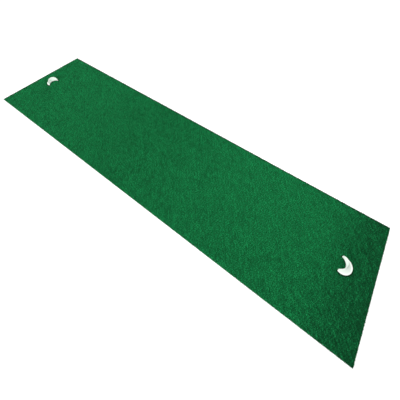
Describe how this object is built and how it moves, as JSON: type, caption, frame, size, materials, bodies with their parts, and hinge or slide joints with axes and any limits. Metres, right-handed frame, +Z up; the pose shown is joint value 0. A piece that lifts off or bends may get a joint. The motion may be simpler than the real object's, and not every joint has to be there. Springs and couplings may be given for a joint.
{
  "type": "practice putting mat",
  "caption": "Long flat strip of green putting turf on a rubber backing, with a white crescent target cup standing near each end; each cup lifts off.",
  "frame": {"origin": "centre of the mat's underside, on the floor", "axes": "+X along the mat towards the near cup, +Y across it, +Z up out of the turf"},
  "size_m": [3.6576, 0.9144, 0.066],
  "materials": {
    "turf_pile": "matte",
    "tufting_cloth": "matte",
    "backing_rubber": "matte",
    "cup_plastic": "satin",
    "grip_pad": "matte"
  },
  "bodies": {
    "mat": {"rubber_backing": "backing_rubber", "tufting_cloth": "tufting_cloth", "turf_pile": "turf_pile"},
    "near_cup": {"near_cup": "cup_plastic", "near_cup_grip_pad": "grip_pad"},
    "far_cup": {"far_cup": "cup_plastic", "far_cup_grip_pad": "grip_pad"}
  },
  "joints": [
    {"name": "near_cup_lift", "type": "slide", "parent": "mat", "child": "near_cup", "axis": [0, 0, 1], "range_m": [0, 0.12]},
    {"name": "far_cup_lift", "type": "slide", "parent": "mat", "child": "far_cup", "axis": [0, 0, 1], "range_m": [0, 0.12]}
  ]
}
